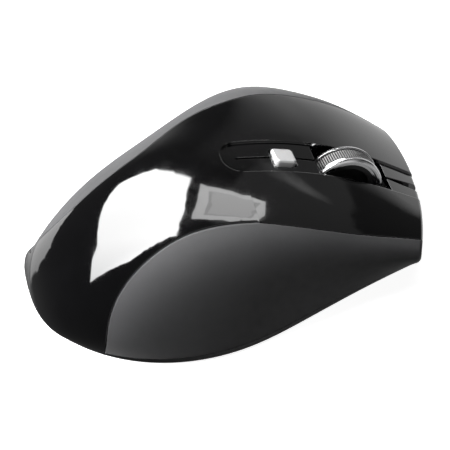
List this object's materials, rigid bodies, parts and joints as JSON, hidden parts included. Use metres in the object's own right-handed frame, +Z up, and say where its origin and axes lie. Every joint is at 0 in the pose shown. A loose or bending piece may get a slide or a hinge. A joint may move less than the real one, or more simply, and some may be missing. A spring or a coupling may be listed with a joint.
{
  "type": "computer mouse",
  "caption": "Right-handed wireless desktop mouse: glossy arched cover with two keys, ribbed scroll wheel in a centre channel, soft-touch side grips and a base with battery door.",
  "frame": {"origin": "under the middle of the mouse's length and width, on the plane that the slide feet rest on", "axes": "+Y points to the key end, away from the palm; +X to the user's right; +Z up"},
  "size_m": [0.0739, 0.115, 0.0391],
  "materials": {
    "gloss_black": "polished",
    "soft_touch": "matt soft-touch",
    "base_plastic": "fine grain",
    "foot_plastic": "low-friction",
    "silver": "satin",
    "chrome": "polished",
    "wheel_rubber": "ribbed",
    "hub_plastic": "moulded",
    "steel": "zinc plated",
    "contact_metal": "nickel plated",
    "board_green": "solder mask",
    "switch_black": "moulded",
    "plunger_red": "moulded",
    "switch_grey": "moulded",
    "clear_plastic": "clear moulded",
    "cell_wrap": "printed wrap"
  },
  "bodies": {
    "base": {"base": "base_plastic", "palm_cover": "gloss_black", "left_grip": "soft_touch", "right_grip": "soft_touch", "front_foot": "foot_plastic", "rear_foot": "foot_plastic", "case_screws": "steel", "main_board": "board_green", "left_switch": "switch_black", "right_switch": "switch_black", "middle_switch": "switch_black", "wheel_frame": "base_plastic", "scroll_encoder": "switch_black", "board_columns": "base_plastic", "upper_board": "board_green", "dpi_switch": "switch_black", "optical_sensor": "switch_black", "sensor_lens": "clear_plastic", "light_source": "clear_plastic", "left_battery": "cell_wrap", "right_battery": "cell_wrap", "front_contact": "contact_metal", "rear_contact": "contact_metal"},
    "left_key": {"left_key": "gloss_black"},
    "right_key": {"right_key": "gloss_black"},
    "left_plunger": {"left_plunger": "plunger_red"},
    "right_plunger": {"right_plunger": "plunger_red"},
    "yoke": {"wheel_yoke": "base_plastic", "middle_plunger": "plunger_red"},
    "wheel": {"wheel_tyre": "wheel_rubber", "wheel_rim_left": "chrome", "wheel_rim_right": "chrome", "wheel_hub": "hub_plastic", "wheel_axle": "steel", "encoder_disc": "hub_plastic"},
    "dpi_button": {"dpi_button": "silver"},
    "battery_door": {"battery_door": "base_plastic"},
    "power_switch": {"power_switch": "switch_grey"}
  },
  "joints": [
    {"name": "left_key_press", "type": "hinge", "parent": "base", "child": "left_key", "pos_m": [-0.00135, 0.00195, 0.0275], "axis": [-1, 0, 0], "range_deg": [0, 1.2], "stiffness_Nm_per_rad": 1, "springref_deg": -1.72},
    {"name": "right_key_press", "type": "hinge", "parent": "base", "child": "right_key", "pos_m": [-0.00135, 0.00195, 0.0275], "axis": [-1, 0, 0], "range_deg": [0, 1.2], "stiffness_Nm_per_rad": 1, "springref_deg": -1.72},
    {"name": "left_plunger_press", "type": "slide", "parent": "base", "child": "left_plunger", "axis": [0, 0, -1], "range_m": [0, 0.0009]},
    {"name": "right_plunger_press", "type": "slide", "parent": "base", "child": "right_plunger", "axis": [0, 0, -1], "range_m": [0, 0.0009]},
    {"name": "wheel_press", "type": "slide", "parent": "base", "child": "yoke", "axis": [0, 0, -1], "range_m": [0, 0.0005], "stiffness_N_per_m": 1000, "springref_m": -0.0005},
    {"name": "wheel_spin", "type": "hinge", "parent": "yoke", "child": "wheel", "pos_m": [-0.00135, 0.03345, 0.0219], "axis": [1, 0, 0], "continuous": true},
    {"name": "dpi_press", "type": "slide", "parent": "base", "child": "dpi_button", "axis": [0, -0.2504, -0.9681], "range_m": [0, 0.0004], "stiffness_N_per_m": 2000, "springref_m": -0.0002},
    {"name": "battery_door_slide", "type": "slide", "parent": "base", "child": "battery_door", "axis": [0, 0, -1], "range_m": [0, 0.02]},
    {"name": "power_slide", "type": "slide", "parent": "base", "child": "power_switch", "axis": [0, 1, 0], "range_m": [0, 0.0039]}
  ],
  "couplings": [
    {"joint": "left_plunger_press", "follows": "left_key_press", "m_per_rad": 0.0396},
    {"joint": "right_plunger_press", "follows": "right_key_press", "m_per_rad": 0.0396}
  ]
}
